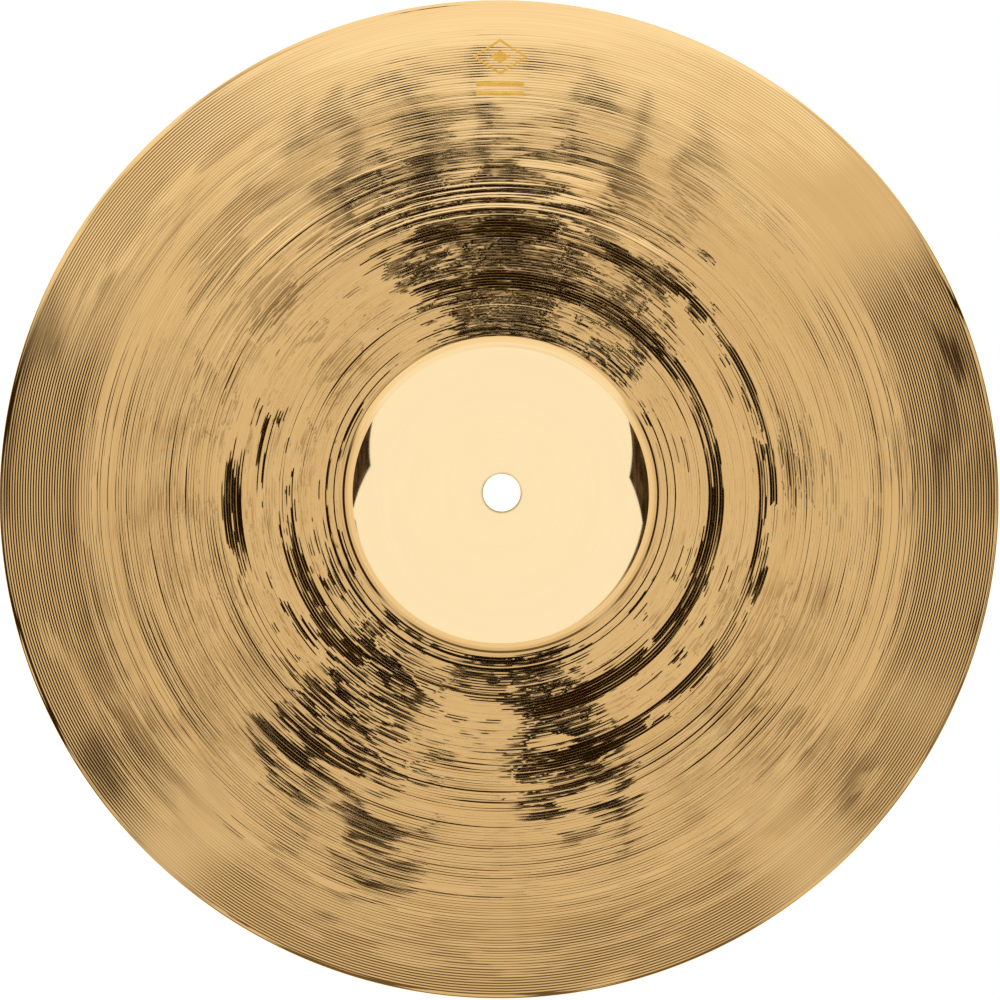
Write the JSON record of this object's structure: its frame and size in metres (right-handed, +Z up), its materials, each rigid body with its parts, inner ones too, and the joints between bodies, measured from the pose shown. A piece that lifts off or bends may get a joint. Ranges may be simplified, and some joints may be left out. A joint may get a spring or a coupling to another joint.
{
  "type": "crash cymbal",
  "caption": "Thin round bronze crash cymbal with a polished domed bell, a finely grooved bow and a round centre hole for a stand.",
  "frame": {"origin": "centre of the centre hole, halfway through the wall", "axes": "+Z up the cymbal's axis, out of the bell; +Y towards the printed mark"},
  "size_m": [0.3556, 0.3556, 0.0381],
  "materials": {
    "bronze": "turned and polished bronze",
    "ink": "screen-printed ink, amber"
  },
  "bodies": {
    "root": {"cymbal": "bronze", "printed_mark": "ink"}
  },
  "joints": []
}
